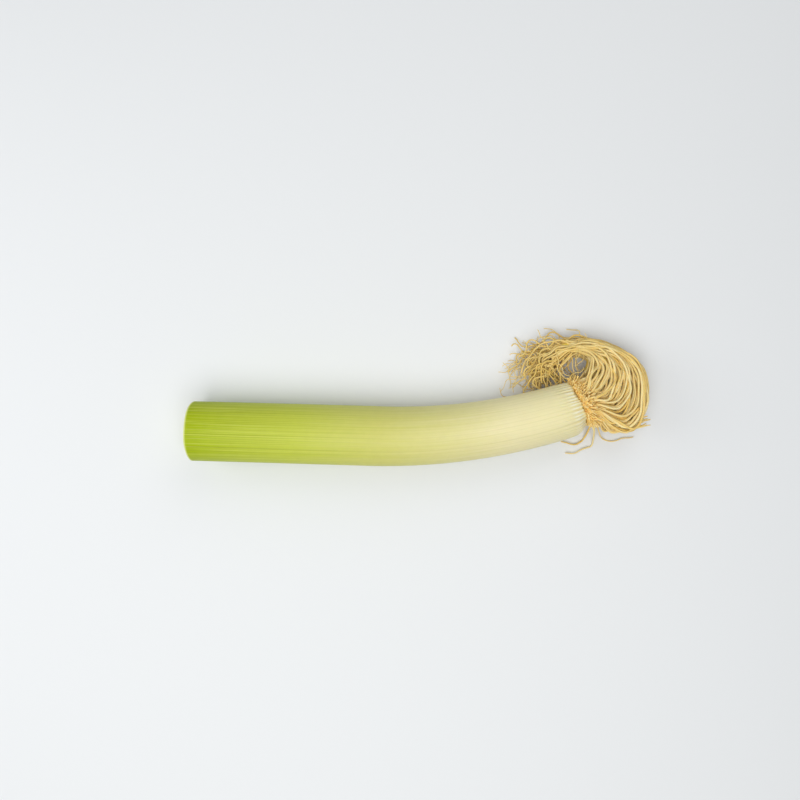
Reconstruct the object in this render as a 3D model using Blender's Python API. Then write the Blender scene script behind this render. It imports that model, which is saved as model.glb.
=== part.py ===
"""A trimmed leek lying on its side: nested leaf sheaths, a root plate and its roots.

The leaves are closed tubes, one inside the next, cut off square at one end and grown onto the root
plate at the other. The shaft runs straight from the cut end and then bends sideways to its foot. The
roots leave the domed plate, swing round in a half circle beside the foot and trail back along the shaft.

Metres, +Z up. The leek rests on the plane z = 0, and the origin is the middle of its footprint.
"""

import math

import bmesh
import bpy
import numpy as np

# The shaft
SHAFT_LENGTH = 0.200  # from the cut end to the foot, along the axis
STRAIGHT_LENGTH = 0.095  # from the cut end to the start of the bend
BEND = math.radians(19.5)  # how far the foot is turned to the left of the cut end
CUT_RADIUS = 0.0153
BELLY_RADIUS = 0.0155  # at the start of the bend
NECK_RADIUS = 0.0144  # where the foot begins
FOOT_RADIUS = 0.0131  # at the very end of the leaves
FOOT_LENGTH = 0.011  # over which the shaft rounds in to its foot
SHAFT_SIDES = 20
BEND_STEPS = 6
FOOT_STEPS = 3

# The leaves
LEAF_COUNT = 7  # tubes round the heart
HEART_RADIUS = 0.0021
LEAF_GAP = 0.0003  # free play between one leaf and the next

# The root plate
PLATE_GAP = 0.0003  # between the leaves' ends and the plate
PLATE_INSET = 0.0004  # how far the plate's rim lies inside the foot
PLATE_RIM = 0.0018  # height of the plate's straight rim
PLATE_DOME = 0.0052  # height of the dome beyond the rim
DOME_STEPS = 4

# The roots
ROOT_RADIUS = 0.0008
ROOT_TIP = 0.6  # thickness of a root's tip, as a share of its base
ROOT_GAP = 0.0004  # between a root and what it springs from or lies on
ROOT_LANES = 5  # side by side
ROOT_LAYERS = 8  # one above the other
ROOT_PITCH = 0.0019  # between layers where the roots lie in a heap
ROOT_LIFT = 0.005  # how far a root runs straight out of the dome
ROOT_POINTS = 17
PLATE_MARGIN = 0.0026  # bare rim of the dome, outside the outermost roots
SHORTEST_ROOT = 0.78  # length of the shortest roots, as a share of the track

# The tracks of the innermost and the outermost lane, seen from above: (x, y) from the middle of the
# foot. The lanes between them are spread evenly.
INNER_TRACK = (
    (0.0060, 0.0180),
    (0.0075, 0.0240),
    (0.0040, 0.0285),
    (-0.0040, 0.0300),
    (-0.0140, 0.0285),
    (-0.0235, 0.0240),
    (-0.0320, 0.0175),
)
OUTER_TRACK = (
    (0.0285, -0.0105),
    (0.0370, 0.0030),
    (0.0340, 0.0220),
    (0.0140, 0.0355),
    (-0.0080, 0.0380),
    (-0.0290, 0.0355),
    (-0.0490, 0.0300),
)
# Roots that stray from the heap. Each starts at a clock angle on the dome, counted from straight up
# towards the outside of the bend, and then runs on the ground through its points, as above.
STRAY_ROOTS = (
    (math.radians(90), ((0.0178, -0.0162), (0.0250, -0.0175), (0.0340, -0.0145))),
    (math.radians(104), ((0.0125, -0.0188), (0.0095, -0.0218), (0.0045, -0.0236), (-0.0020, -0.0246))),
    (math.radians(118), ((0.0082, -0.0162), (0.0055, -0.0186), (0.0010, -0.0192), (-0.0045, -0.0184))),
)

LEAF_GREEN = (0.50, 0.60, 0.10)
LEAF_WHITE = (0.80, 0.76, 0.47)
PLATE_BROWN = (0.62, 0.42, 0.16)
ROOT_CREAM = (0.80, 0.62, 0.30)


def clear_scene():
    """Removes whatever the scene holds."""
    for obj in list(bpy.data.objects):
        bpy.data.objects.remove(obj)


def material(name, colour, roughness):
    """A plain surface of one colour."""
    made = bpy.data.materials.new(name)
    made.use_nodes = True
    shader = made.node_tree.nodes["Principled BSDF"]
    shader.inputs["Base Color"].default_value = (*colour, 1.0)
    shader.inputs["Roughness"].default_value = roughness
    shader.inputs["Metallic"].default_value = 0.0
    return made


def add_object(name, data, look, parent):
    """Puts a mesh or a curve in the scene, as one piece of the leek."""
    data.materials.append(look)
    obj = bpy.data.objects.new(name, data)
    obj.parent = parent
    bpy.context.scene.collection.objects.link(obj)
    return obj


def heading_at(s):
    """Direction of the shaft's axis at distance s from the cut end, as an angle from +X."""
    return BEND * max(0.0, s - STRAIGHT_LENGTH) / (SHAFT_LENGTH - STRAIGHT_LENGTH)


def axis_at(s):
    """Where the shaft's axis is at distance s from the cut end, seen from above."""
    if s <= STRAIGHT_LENGTH:
        return np.array((s, 0.0))
    bend_radius = (SHAFT_LENGTH - STRAIGHT_LENGTH) / BEND
    turned = heading_at(min(s, SHAFT_LENGTH))
    beyond = max(0.0, s - SHAFT_LENGTH)
    return np.array(
        (
            STRAIGHT_LENGTH + bend_radius * math.sin(turned) + beyond * math.cos(BEND),
            bend_radius * (1 - math.cos(turned)) + beyond * math.sin(BEND),
        )
    )


def radius_at(s):
    """The shaft's outer radius: even tapers along the shaft, and a quarter ellipse at the foot."""
    neck = SHAFT_LENGTH - FOOT_LENGTH
    if s <= neck:
        return float(np.interp(s, (0.0, STRAIGHT_LENGTH, neck), (CUT_RADIUS, BELLY_RADIUS, NECK_RADIUS)))
    share = (s - neck) / FOOT_LENGTH
    return FOOT_RADIUS + (NECK_RADIUS - FOOT_RADIUS) * math.sqrt(max(0.0, 1 - share * share))


def height_at(s):
    """Height of the axis. The lowest side of the shaft lies flat on the ground all along it."""
    return radius_at(min(s, SHAFT_LENGTH)) * math.cos(math.pi / SHAFT_SIDES)


def stations():
    """Distances from the cut end at which the leaves have a ring of corners."""
    neck = SHAFT_LENGTH - FOOT_LENGTH
    bend = np.linspace(STRAIGHT_LENGTH, neck, BEND_STEPS + 1)
    quarter = np.linspace(0.0, math.pi / 2, FOOT_STEPS + 1)[1:]
    return [0.0, *bend, *(neck + FOOT_LENGTH * np.sin(quarter))]


def ring(s, radius, sides=SHAFT_SIDES):
    """Corners of a cut across the shaft at distance s, with one flat side downwards."""
    heading = heading_at(min(s, SHAFT_LENGTH))
    middle, height = axis_at(s), height_at(s)
    turns = (np.arange(sides) + 0.5) * 2 * math.pi / sides
    out = radius * np.sin(turns)
    return np.column_stack(
        (
            middle[0] - out * math.sin(heading),
            middle[1] + out * math.cos(heading),
            height - radius * np.cos(turns),
        )
    )


def loft(name, rings, closed):
    """A solid through rings of corners. A closed one joins its last ring to its first, as a tube's
    inside to its outside, and any other is capped at both ends."""
    shape = bmesh.new()
    loops = [[shape.verts.new(corner) for corner in corners] for corners in rings]
    pairs = list(zip(loops, loops[1:]))
    if closed:
        pairs.append((loops[-1], loops[0]))
    else:
        shape.faces.new(loops[0])
        shape.faces.new(loops[-1])
    for near, far in pairs:
        for i in range(len(near)):
            j = (i + 1) % len(near)
            shape.faces.new((near[i], near[j], far[j], far[i]))
    bmesh.ops.recalc_face_normals(shape, faces=shape.faces)
    mesh = bpy.data.meshes.new(name)
    shape.to_mesh(mesh)
    shape.free()
    mesh.shade_smooth()
    mesh.set_sharp_from_angle(angle=math.radians(40))
    return mesh


def leaf_pitch(s):
    """Distance from one leaf's outside to the next one's."""
    return (radius_at(s) - HEART_RADIUS) / LEAF_COUNT


def leaf(number):
    """The sheath of one leaf, a tube from the cut end to the root plate. Number 1 is outermost."""
    outside = [ring(s, radius_at(s) - (number - 1) * leaf_pitch(s)) for s in stations()]
    inside = [ring(s, radius_at(s) - number * leaf_pitch(s) + LEAF_GAP) for s in stations()]
    return loft(f"leaf_{number}", outside + inside[::-1], closed=True)


def heart_leaf():
    """The youngest leaf, still rolled up into a rod."""
    return loft("heart_leaf", [ring(s, HEART_RADIUS) for s in stations()], closed=False)


def plate_radius():
    """Radius of the root plate's rim."""
    return FOOT_RADIUS - PLATE_INSET


def dome_height(radius):
    """How far the dome stands out from the foot's end at a distance from its middle: a parabola."""
    return PLATE_GAP + PLATE_RIM + PLATE_DOME * (1 - (radius / plate_radius()) ** 2)


def root_plate():
    """The stem of the leek: a short disc whose end is domed."""
    radii = plate_radius() * np.cos(np.linspace(0.0, math.pi / 2, DOME_STEPS + 1)[:-1])
    rings = [ring(SHAFT_LENGTH + PLATE_GAP, plate_radius())]
    rings += [ring(SHAFT_LENGTH + dome_height(r), r) for r in radii]
    return loft("root_plate", rings, closed=False)


def dome_point(left, up, lift):
    """The point above the dome at a distance left of and above its middle, lifted along the normal."""
    steepness = 2 * PLATE_DOME / plate_radius() ** 2
    normal = np.array((1.0, steepness * left, steepness * up))
    normal /= np.linalg.norm(normal)
    out, left, up = np.array((dome_height(math.hypot(left, up)), left, up)) + lift * normal
    foot = axis_at(SHAFT_LENGTH)
    return np.array(
        (
            foot[0] + out * math.cos(BEND) - left * math.sin(BEND),
            foot[1] + out * math.sin(BEND) + left * math.cos(BEND),
            height_at(SHAFT_LENGTH) + up,
        )
    )


def smooth_curve(points, count):
    """Evenly spaced points on the Catmull-Rom curve through the given ones, kept off the ground."""
    p = np.asarray(points, float)
    p = np.vstack((2 * p[0] - p[1], p, 2 * p[-1] - p[-2]))
    t = np.linspace(0.0, 1.0, 24, endpoint=False)[:, None]
    pieces = [
        0.5 * (2 * b + (c - a) * t + (2 * a - 5 * b + 4 * c - d) * t**2 + (3 * b - a - 3 * c + d) * t**3)
        for a, b, c, d in zip(p, p[1:], p[2:], p[3:])
    ]
    dense = np.vstack((*pieces, p[-2:-1]))
    dense[:, 2] = np.maximum(dense[:, 2], ROOT_RADIUS + ROOT_GAP)
    length = np.concatenate(([0.0], np.cumsum(np.linalg.norm(np.diff(dense, axis=0), axis=1))))
    even = np.linspace(0.0, length[-1], count)
    return np.column_stack([np.interp(even, length, dense[:, axis]) for axis in range(3)])


def shorten(points, share):
    """The first share of a curve, as evenly spaced points again."""
    along = np.linspace(0.0, 1.0, len(points))
    kept = np.linspace(0.0, share, len(points))
    return np.column_stack([np.interp(kept, along, points[:, axis]) for axis in range(3)])


def heap_root(lane, layer):
    """Route of a root in the heap. It leaves the dome along its normal, and sinks onto the layer
    below it as it follows its lane."""
    across = lane / (ROOT_LANES - 1)
    up_share = layer / (ROOT_LAYERS - 1)
    rooted = plate_radius() - PLATE_MARGIN
    up = rooted * 0.86 * (2 * up_share - 1)
    left = math.sqrt(rooted**2 - up**2) * (1 - 2 * across)
    start = dome_point(left, up, ROOT_GAP)
    lifted = dome_point(left, up, ROOT_LIFT)
    foot = axis_at(SHAFT_LENGTH)
    track = foot + (1 - across) * np.array(INNER_TRACK) + across * np.array(OUTER_TRACK)
    heap_height = ROOT_RADIUS + ROOT_GAP + layer * ROOT_PITCH
    sinking = np.linspace(0.0, 1.0, len(track) + 1)[1:]
    eased = np.minimum(1.0, sinking / 0.6)
    heights = lifted[2] + (heap_height - lifted[2]) * eased * eased * (3 - 2 * eased)
    route = np.vstack((start, lifted, np.column_stack((track, heights))))
    stagger = ((5 * lane + 3 * layer) % 8) / 7
    share = SHORTEST_ROOT + (1 - SHORTEST_ROOT) * stagger
    return shorten(smooth_curve(route, 4 * ROOT_POINTS), share)


def stray_root(clock, ground_points):
    """Route of a root that drops from the edge of the dome and runs along the ground."""
    edge = plate_radius() - 0.4 * PLATE_MARGIN
    left, up = -edge * math.sin(clock), edge * math.cos(clock)
    foot = axis_at(SHAFT_LENGTH)
    ground = [(*(foot + point), ROOT_RADIUS + ROOT_GAP) for point in ground_points]
    start, lifted = dome_point(left, up, ROOT_GAP), dome_point(left, up, 0.6 * ROOT_LIFT)
    return smooth_curve((start, lifted, *ground), 4 * ROOT_POINTS)


def root_curve(name, route):
    """A root along a route, tapering to its tip, with both ends filled."""
    curve = bpy.data.curves.new(name, "CURVE")
    curve.dimensions = "3D"
    curve.bevel_depth = ROOT_RADIUS
    curve.bevel_resolution = 1
    curve.use_fill_caps = True
    along = np.linspace(0.0, 1.0, ROOT_POINTS)
    source = np.linspace(0.0, 1.0, len(route))
    spline = curve.splines.new("POLY")
    spline.points.add(ROOT_POINTS - 1)
    for point, share in zip(spline.points, along):
        point.co = (*[np.interp(share, source, route[:, axis]) for axis in range(3)], 1.0)
        point.radius = 1 - (1 - ROOT_TIP) * share
    return curve


def centre_footprint(holder):
    """Moves the whole leek so that the middle of its footprint is the origin."""
    bpy.context.view_layer.update()
    graph = bpy.context.evaluated_depsgraph_get()
    corners = []
    for obj in holder.children:
        evaluated = obj.evaluated_get(graph)
        mesh = evaluated.to_mesh()
        corners += [evaluated.matrix_world @ vertex.co for vertex in mesh.vertices]
        evaluated.to_mesh_clear()
    points = np.array(corners)
    middle = (points.min(axis=0) + points.max(axis=0)) / 2
    holder.location = (-middle[0], -middle[1], 0.0)


def main():
    clear_scene()
    holder = bpy.data.objects.new("leek", None)
    bpy.context.scene.collection.objects.link(holder)
    green = material("leaf_green", LEAF_GREEN, 0.4)
    white = material("leaf_white", LEAF_WHITE, 0.4)
    brown = material("plate_brown", PLATE_BROWN, 0.8)
    cream = material("root_cream", ROOT_CREAM, 0.6)
    for number in range(1, LEAF_COUNT + 1):
        add_object(f"leaf_{number}", leaf(number), green if number == 1 else white, holder)
    add_object("heart_leaf", heart_leaf(), white, holder)
    add_object("root_plate", root_plate(), brown, holder)
    for layer in range(ROOT_LAYERS):
        for lane in range(ROOT_LANES):
            name = f"root_{layer * ROOT_LANES + lane + 1:02d}"
            add_object(name, root_curve(name, heap_root(lane, layer)), cream, holder)
    for number, (clock, ground_points) in enumerate(STRAY_ROOTS, start=1):
        name = f"stray_root_{number}"
        add_object(name, root_curve(name, stray_root(clock, ground_points)), cream, holder)
    centre_footprint(holder)


main()
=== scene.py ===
"""A trimmed leek: the fine surfaces, the finishes and the studio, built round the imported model.

The shaft's axis runs straight from the cut end and then bends sideways along an arc. Each leaf is a
tube round that axis, worked out first as if the shaft were straight and then carried along the bend.
The roots are tubes along routes that leave the root plate and swing round beside the foot.
"""

import math

import bpy
import numpy as np
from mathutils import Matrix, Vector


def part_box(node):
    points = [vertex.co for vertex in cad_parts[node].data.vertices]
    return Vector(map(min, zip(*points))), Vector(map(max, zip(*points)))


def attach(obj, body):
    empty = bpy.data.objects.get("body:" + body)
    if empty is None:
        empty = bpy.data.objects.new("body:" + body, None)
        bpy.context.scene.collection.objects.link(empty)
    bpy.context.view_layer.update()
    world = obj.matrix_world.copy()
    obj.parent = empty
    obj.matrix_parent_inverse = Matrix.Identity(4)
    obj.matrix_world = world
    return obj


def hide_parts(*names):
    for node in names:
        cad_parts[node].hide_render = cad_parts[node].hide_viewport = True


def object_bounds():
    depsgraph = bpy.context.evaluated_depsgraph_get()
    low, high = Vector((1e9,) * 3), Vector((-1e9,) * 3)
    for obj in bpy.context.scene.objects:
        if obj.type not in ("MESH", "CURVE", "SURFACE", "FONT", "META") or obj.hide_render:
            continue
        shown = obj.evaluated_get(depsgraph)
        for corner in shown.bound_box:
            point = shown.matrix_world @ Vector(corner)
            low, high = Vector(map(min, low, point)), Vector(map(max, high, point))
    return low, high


bl_info = {
    "name": "Trimmed Leek",
    "version": (1, 0, 0),
    "blender": (4, 5, 0),
    "location": "3D View > Sidebar > Leek",
    "description": "Builds a trimmed leek with its leaves, root plate and roots",
    "category": "Add Mesh",
}

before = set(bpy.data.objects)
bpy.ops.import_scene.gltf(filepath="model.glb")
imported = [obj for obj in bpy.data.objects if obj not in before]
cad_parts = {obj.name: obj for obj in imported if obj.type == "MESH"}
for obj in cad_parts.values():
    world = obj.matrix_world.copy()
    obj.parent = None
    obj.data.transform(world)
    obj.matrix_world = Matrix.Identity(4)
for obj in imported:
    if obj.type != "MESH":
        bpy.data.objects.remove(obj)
SOLID_BOX = [list(corner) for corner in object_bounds()]
BODY = "root"

# The shaft, with the sizes of its solids
SHAFT_LENGTH = 0.200
STRAIGHT_LENGTH = 0.095
BEND = math.radians(19.5)
BEND_RADIUS = (SHAFT_LENGTH - STRAIGHT_LENGTH) / BEND
CUT_RADIUS = 0.0153
BELLY_RADIUS = 0.0155
NECK_RADIUS = 0.0144
FOOT_RADIUS = 0.0131
FOOT_LENGTH = 0.011
LEAF_COUNT = 7
HEART_RADIUS = 0.0021
PLATE_INSET = 0.0004
PLATE_RIM = 0.0018
PLATE_DOME = 0.0052
ROOTED_RADIUS = 0.0108
ROOT_LANES = 5
ROOT_LAYERS = 8
FLAT_SIDE = math.cos(math.pi / 20)  # the solids have twenty sides, and lie on one of them

CUT_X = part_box("leaf_1")[0].x
AXIS_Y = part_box("heart_leaf")[0].y + HEART_RADIUS * FLAT_SIDE

# The inner and the outer edge of the heap of roots, seen from above, from the middle of the foot
INNER_TRACK = np.array(
    (
        (0.0060, 0.0180),
        (0.0075, 0.0240),
        (0.0040, 0.0285),
        (-0.0040, 0.0300),
        (-0.0140, 0.0285),
        (-0.0235, 0.0240),
        (-0.0320, 0.0175),
    )
)
OUTER_TRACK = np.array(
    (
        (0.0285, -0.0105),
        (0.0370, 0.0030),
        (0.0340, 0.0220),
        (0.0140, 0.0355),
        (-0.0080, 0.0380),
        (-0.0290, 0.0355),
        (-0.0490, 0.0300),
    )
)
HEAP_HEIGHT = 0.0145
SPREAD = 0.0030  # how far the roots may reach beyond the box of the solids
LIP = 0.0026  # how much further the leaves reach on the outer side of the bend
LEAN_LENGTH = 0.010  # how much of the foot leans over with the lip
CUT_LEAN = 0.075  # how far the cut leans, as a share of the height above the axis
HEAP_SINK = 0.0035  # how much nearer the shaft the heap's far end lies
CLEARANCE = 0.0002  # between a root's skin and the shaft or the floor
TWIG_SHARE = 0.75  # a branch is coloured as its root is at this share of its length
LONG_ROOT = 0.80  # the share of its track that a root must reach to carry branches
FLOOR_LIFT = 0.00015  # how far above the floor the flattened underside lies
VEIN_STEPS = 16  # columns of the outer leaf's mesh for each vein
INNER_COLUMNS = 176
ROOT_SIDES = 7
TWIG_SIDES = 5
STUB_SIDES = 6
FIBRES_ACROSS = 1250.0  # fine streaks for each metre round the outer leaf
# The stray roots: where each leaves the plate, as an angle round it, and its route along the ground
STRAY_TRACKS = (
    (math.radians(90), ((0.0178, -0.0162), (0.0250, -0.0175), (0.0340, -0.0145))),
    (math.radians(104), ((0.0125, -0.0188), (0.0095, -0.0218), (0.0045, -0.0236), (-0.0020, -0.0246))),
    (math.radians(118), ((0.0082, -0.0162), (0.0055, -0.0186), (0.0010, -0.0192), (-0.0045, -0.0184))),
)


# ------------------------------------------------------------------------------------------------
# Settings that a user would change
# ------------------------------------------------------------------------------------------------


def length_setting(label, text, default, highest):
    """A length in metres, shown in the scene's units."""
    return bpy.props.FloatProperty(
        name=label, description=text, default=default, min=0.0, max=highest,
        precision=5, subtype="DISTANCE", unit="LENGTH",
    )


def count_setting(label, text, default, highest):
    """A whole number."""
    return bpy.props.IntProperty(name=label, description=text, default=default, min=1, max=highest)


def colour_setting(label, text, default):
    """A colour without alpha."""
    return bpy.props.FloatVectorProperty(
        name=label, description=text, default=default, size=3, min=0.0, max=1.0, subtype="COLOR",
    )


class LeekLeafSettings(bpy.types.PropertyGroup):
    """Sizes of the leaves' veins, pleats and cut edges."""

    vein_count: count_setting("Veins", "Veins round the outer leaf", 46, 200)
    vein_depth: length_setting("Vein depth", "Depth of the grooves between veins", 0.00004, 0.001)
    pleat_depth: length_setting("Pleat depth", "Depth of the pleats at the foot", 0.00044, 0.002)
    pleat_length: length_setting("Pleat length", "How far the pleats reach up the shaft", 0.019, 0.1)
    edge_rounding: length_setting("Edge rounding", "Rounding of the cut edges", 0.00022, 0.001)
    leaf_gap: length_setting("Leaf gap", "Dark line between one leaf and the next", 0.00012, 0.0003)


class LeekPlateSettings(bpy.types.PropertyGroup):
    """Sizes of the root plate and of the broken roots on it."""

    roughness: length_setting("Lumps", "Height of the lumps on the root plate", 0.00045, 0.002)
    stub_count: count_setting("Stubs", "Broken roots left on the plate", 1100, 2000)
    stub_length: length_setting("Stub length", "Length of the longest broken roots", 0.0046, 0.01)
    stub_radius: length_setting("Stub radius", "Radius of a broken root", 0.00048, 0.002)


class LeekRootSettings(bpy.types.PropertyGroup):
    """Sizes of the roots."""

    strands_across: count_setting("Roots across", "Roots side by side in the heap", 28, 40)
    strands_deep: count_setting("Roots deep", "Roots one above the other in the heap", 8, 20)
    strand_radius: length_setting("Root radius", "Radius of a root at the plate", 0.00062, 0.002)
    tip_radius: length_setting("Tip radius", "Radius of a root at its tip", 0.00038, 0.001)
    fan_count: count_setting("Short roots", "Cut roots that point straight away", 34, 100)
    branch_count: count_setting("Branches", "Fine branches near the roots' tips", 160, 2000)
    branch_length: length_setting("Branch length", "Length of the longest branches", 0.027, 0.06)


class LeekColourSettings(bpy.types.PropertyGroup):
    """Colours of the leek and its surroundings."""

    green: colour_setting("Leaf green", "The leaves at the cut end", (0.355, 0.450, 0.004))
    lime: colour_setting("Leaf lime", "The leaves a quarter of the way down", (0.505, 0.560, 0.072))
    straw: colour_setting("Leaf straw", "The leaves at the middle of the shaft", (0.60, 0.585, 0.170))
    cream: colour_setting("Leaf cream", "The leaves near the foot", (0.81, 0.735, 0.43))
    flesh: colour_setting("Flesh", "The cut face of the leaves", (0.70, 0.74, 0.33))
    heart: colour_setting("Heart", "The cut face of the youngest leaf", (0.66, 0.66, 0.14))
    ochre: colour_setting("Ochre", "The root plate and the bases of the roots", (0.98, 0.60, 0.14))
    brown: colour_setting("Brown", "Old scars on the root plate", (0.45, 0.22, 0.05))
    root_cream: colour_setting("Root cream", "The palest roots", (0.95, 0.80, 0.42))
    root_gold: colour_setting("Root gold", "The darkest roots", (0.78, 0.49, 0.065))
    # The tips' tan is partly the roots' own colour and partly painted shade.
    root_tan_and_shade: colour_setting("Root tan", "The tips of the roots", (0.64, 0.445, 0.105))
    floor: colour_setting("Floor", "The floor", (0.77, 0.79, 0.81))


class LeekSettings(bpy.types.PropertyGroup):
    """Everything that can be set."""

    leaves: bpy.props.PointerProperty(type=LeekLeafSettings)
    plate: bpy.props.PointerProperty(type=LeekPlateSettings)
    roots: bpy.props.PointerProperty(type=LeekRootSettings)
    colours: bpy.props.PointerProperty(type=LeekColourSettings)


# ------------------------------------------------------------------------------------------------
# The shaft's own coordinates
# ------------------------------------------------------------------------------------------------


def smooth_step(x, low, high):
    """0 below low, 1 above high, and an S-shaped cubic between them."""
    t = np.clip((x - low) / (high - low), 0.0, 1.0)
    return t * t * (3 - 2 * t)


def stack_axes(*axes):
    """Coordinates joined as points, after each is spread to the same shape."""
    return np.stack(np.broadcast_arrays(*axes), axis=-1)


def unit(vectors):
    """Vectors divided by their lengths."""
    return vectors / np.maximum(np.linalg.norm(vectors, axis=-1, keepdims=True), 1e-12)


def skin_radius(along):
    """The shaft's radius: even tapers, then a quarter of an ellipse where the foot rounds in."""
    neck = SHAFT_LENGTH - FOOT_LENGTH
    shaft = np.interp(along, (0.0, STRAIGHT_LENGTH, neck), (CUT_RADIUS, BELLY_RADIUS, NECK_RADIUS))
    share = np.clip((along - neck) / FOOT_LENGTH, 0.0, 1.0)
    foot = FOOT_RADIUS + (NECK_RADIUS - FOOT_RADIUS) * np.sqrt(1 - share * share)
    return np.where(along > neck, foot, shaft)


def carry_along_bend(along, left, up):
    """Points given along the axis, left of it and above it, moved from a straight shaft to the bent
    one: the axis is a line, then an arc, then the arc's tangent."""
    turned = BEND * np.clip((along - STRAIGHT_LENGTH) / (SHAFT_LENGTH - STRAIGHT_LENGTH), 0.0, 1.0)
    straight = np.minimum(along, STRAIGHT_LENGTH)
    beyond = np.maximum(along - SHAFT_LENGTH, 0.0)
    sine, cosine = np.sin(turned), np.cos(turned)
    x = CUT_X + straight + BEND_RADIUS * sine + beyond * cosine - left * sine
    y = AXIS_Y + BEND_RADIUS * (1 - cosine) + beyond * sine + left * cosine
    z = skin_radius(np.clip(along, 0.0, SHAFT_LENGTH)) * FLAT_SIDE + up
    return stack_axes(x, y, z)


FOOT = carry_along_bend(SHAFT_LENGTH, 0.0, 0.0)


def lip_reach(left):
    """How far the foot's end is slid along the axis: the whole lip on the outer side of the bend, and
    nothing on the inner side."""
    return LIP * np.clip(0.5 - 0.5 * left / FOOT_RADIUS, 0.0, 1.0)


def lean_foot(along, left, up):
    """The foot's end, leaned over: points near it are slid along the axis by lip_reach, and the outer
    side of the bend is drawn in towards the axis, which rounds the lip's corner."""
    near = smooth_step(along, SHAFT_LENGTH - LEAN_LENGTH, SHAFT_LENGTH)
    drawn = 1 - 0.22 * near**5 * smooth_step(-left, 0.0, FOOT_RADIUS)
    return along + lip_reach(left) * near, left * drawn, up * drawn


def push_off_shaft(points, clearance):
    """Moves points that are inside the shaft straight out from its axis, to a clearance from its skin.
    The nearest point of the axis is on the line or at the same angle round the arc's centre."""
    centre = np.array((CUT_X + STRAIGHT_LENGTH, AXIS_Y + BEND_RADIUS))
    angle = np.arctan2(points[..., 0] - centre[0], centre[1] - points[..., 1])
    along = np.where(angle > 0, STRAIGHT_LENGTH + BEND_RADIUS * angle, points[..., 0] - CUT_X)
    nearest = carry_along_bend(along, 0.0, 0.0)
    offset = points - nearest
    distance = np.maximum(np.linalg.norm(offset, axis=-1), 1e-6)
    wanted = skin_radius(along) + clearance
    left = BEND_RADIUS - np.hypot(points[..., 0] - centre[0], points[..., 1] - centre[1])
    inside = (along < SHAFT_LENGTH + lip_reach(left)) & (distance < wanted)
    stretched = nearest + offset * (wanted / distance)[..., None]
    return np.where(inside[..., None], stretched, points)


def waves(x, rng, lengths, count):
    """Smooth random lines, one in each of count rows: means of sines with the given wavelengths and
    random phases."""
    phases = [rng.uniform(0.0, 2 * math.pi, (count, 1)) for _ in lengths]
    return sum(np.sin(2 * math.pi * x / w + p) for w, p in zip(lengths, phases)) / len(lengths)


# ------------------------------------------------------------------------------------------------
# Meshes
# ------------------------------------------------------------------------------------------------


def grid_faces(rows, columns, wrap_rows=False, wrap_columns=True):
    """Corner numbers of the four-sided faces of a grid, joined round where it wraps."""
    i = np.arange(rows if wrap_rows else rows - 1)[:, None]
    j = np.arange(columns if wrap_columns else columns - 1)[None, :]
    i2, j2 = (i + 1) % rows, (j + 1) % columns
    corners = (i * columns + j, i * columns + j2, i2 * columns + j2, i2 * columns + j)
    return stack_axes(*corners).reshape(-1, 4)


def add_piece(name, vertices, faces, finish, replaced, attributes=()):
    """Puts a mesh in the scene as a piece of the leek. faces is a list of arrays, each holding faces
    with the same number of corners. attributes are pairs of a name and a value for each vertex."""
    mesh = bpy.data.meshes.new(name)
    vertices = np.asarray(vertices, np.float32).reshape(-1, 3)
    loops = np.concatenate([f.ravel() for f in faces]).astype(np.int32)
    sizes = np.concatenate([np.full(len(f), f.shape[1]) for f in faces])
    mesh.vertices.add(len(vertices))
    mesh.vertices.foreach_set("co", vertices.ravel())
    mesh.loops.add(len(loops))
    mesh.loops.foreach_set("vertex_index", loops)
    mesh.polygons.add(len(sizes))
    starts = np.concatenate(([0], np.cumsum(sizes)[:-1])).astype(np.int32)
    mesh.polygons.foreach_set("loop_start", starts)
    mesh.update(calc_edges=True)
    mesh.validate()
    mesh.shade_smooth()
    for key, values in attributes:
        kind = "FLOAT_VECTOR" if np.ndim(values) > 1 and np.shape(values)[-1] == 3 else "FLOAT"
        stored = mesh.attributes.new(key, kind, "POINT")
        target = "vector" if kind == "FLOAT_VECTOR" else "value"
        stored.data.foreach_set(target, np.asarray(values, np.float32).ravel())
    mesh.materials.append(finish)
    piece = bpy.data.objects.new(name, mesh)
    bpy.context.scene.collection.objects.link(piece)
    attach(piece, BODY)
    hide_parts(*replaced)
    return piece


def tube_rings(centres, radii, sides):
    """Rings of corners round many routes at once. Each ring is square to its route, and is turned so
    that its first corner is level with the middle, off to one side."""
    tangent = unit(np.gradient(centres, axis=1))
    side = unit(np.cross(np.array((0.0, 0.0, 1.0)), tangent))
    over = np.cross(tangent, side)
    turn = np.arange(sides) * 2 * math.pi / sides
    spread = np.cos(turn)[:, None] * side[:, :, None, :] + np.sin(turn)[:, None] * over[:, :, None, :]
    return centres[:, :, None, :] + radii[:, :, None, None] * spread


def tubes(centres, radii, sides):
    """Closed tubes along many routes, as vertices and faces. The far end is pulled in to a blunt tip,
    and each end is closed with one face."""
    count, points = radii.shape
    direction = unit(centres[:, -1] - centres[:, -2])
    ends = centres[:, -1] + direction * radii[:, -1:] * 0.7
    centres = np.concatenate((centres, ends[:, None]), axis=1)
    radii = np.concatenate((radii, radii[:, -1:] * 0.45), axis=1)
    rings = tube_rings(centres, radii, sides)
    points += 1
    one = grid_faces(points, sides)
    starts = np.arange(count) * points * sides
    walls = (starts[:, None, None] + one).reshape(-1, 4)
    base = starts[:, None] + np.arange(sides)[::-1]
    tips = starts[:, None] + (points - 1) * sides + np.arange(sides)
    return rings.reshape(-1, 3), [walls, np.concatenate((base, tips))]


def per_ring(values, sides):
    """Spreads a value of each point of many routes over the corners of its ring, with the tip's
    extra ring added."""
    values = np.concatenate((values, values[:, -1:]), axis=1)
    return np.repeat(values.reshape(-1), sides)


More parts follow.
